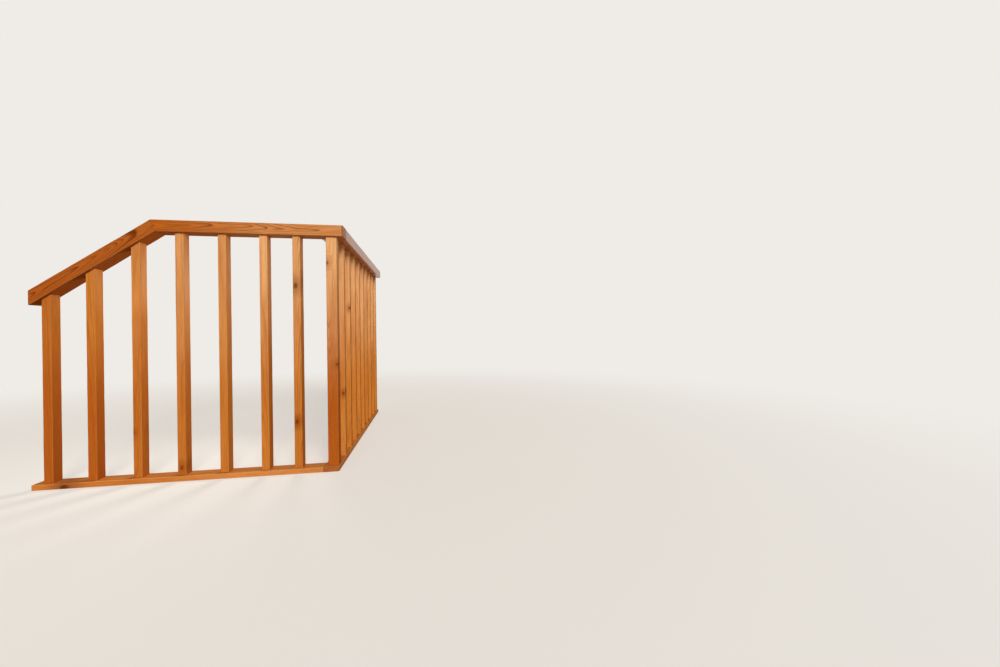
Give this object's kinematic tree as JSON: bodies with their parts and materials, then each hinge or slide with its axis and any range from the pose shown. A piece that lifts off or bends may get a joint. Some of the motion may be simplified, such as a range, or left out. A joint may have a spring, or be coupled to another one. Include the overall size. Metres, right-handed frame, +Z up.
{
  "type": "loft stairwell guard railing",
  "caption": "L-shaped timber guard for a loft stairwell: a level top rail with a mitred elbow down to a raked rail, square-cut pickets, a corner post and thin base plates.",
  "frame": {"origin": "on the floor, under the middle of the corner post, on the underside of the side base plate", "axes": "+X to the right along the front run, whose pickets lie towards -X; +Y back along the side run to the gable wall; +Z up"},
  "size_m": [0.9945, 1.169, 0.914],
  "materials": {
    "rail_wood": "clear gloss varnish over softwood",
    "upright_wood": "clear satin varnish over softwood",
    "plate_wood": "clear satin varnish over softwood"
  },
  "bodies": {
    "root": {"front_base_plate": "plate_wood", "side_base_plate": "plate_wood", "corner_post": "upright_wood", "front_top_rail": "rail_wood", "raked_rail": "rail_wood", "side_top_rail": "rail_wood", "front_picket_1": "upright_wood", "front_picket_2": "upright_wood", "front_picket_3": "upright_wood", "front_picket_4": "upright_wood", "front_picket_5": "upright_wood", "front_picket_6": "upright_wood", "front_picket_7": "upright_wood", "side_picket_1": "upright_wood", "side_picket_2": "upright_wood", "side_picket_3": "upright_wood", "side_picket_4": "upright_wood", "side_picket_5": "upright_wood", "side_picket_6": "upright_wood", "side_picket_7": "upright_wood", "side_picket_8": "upright_wood", "side_picket_9": "upright_wood"}
  },
  "joints": []
}
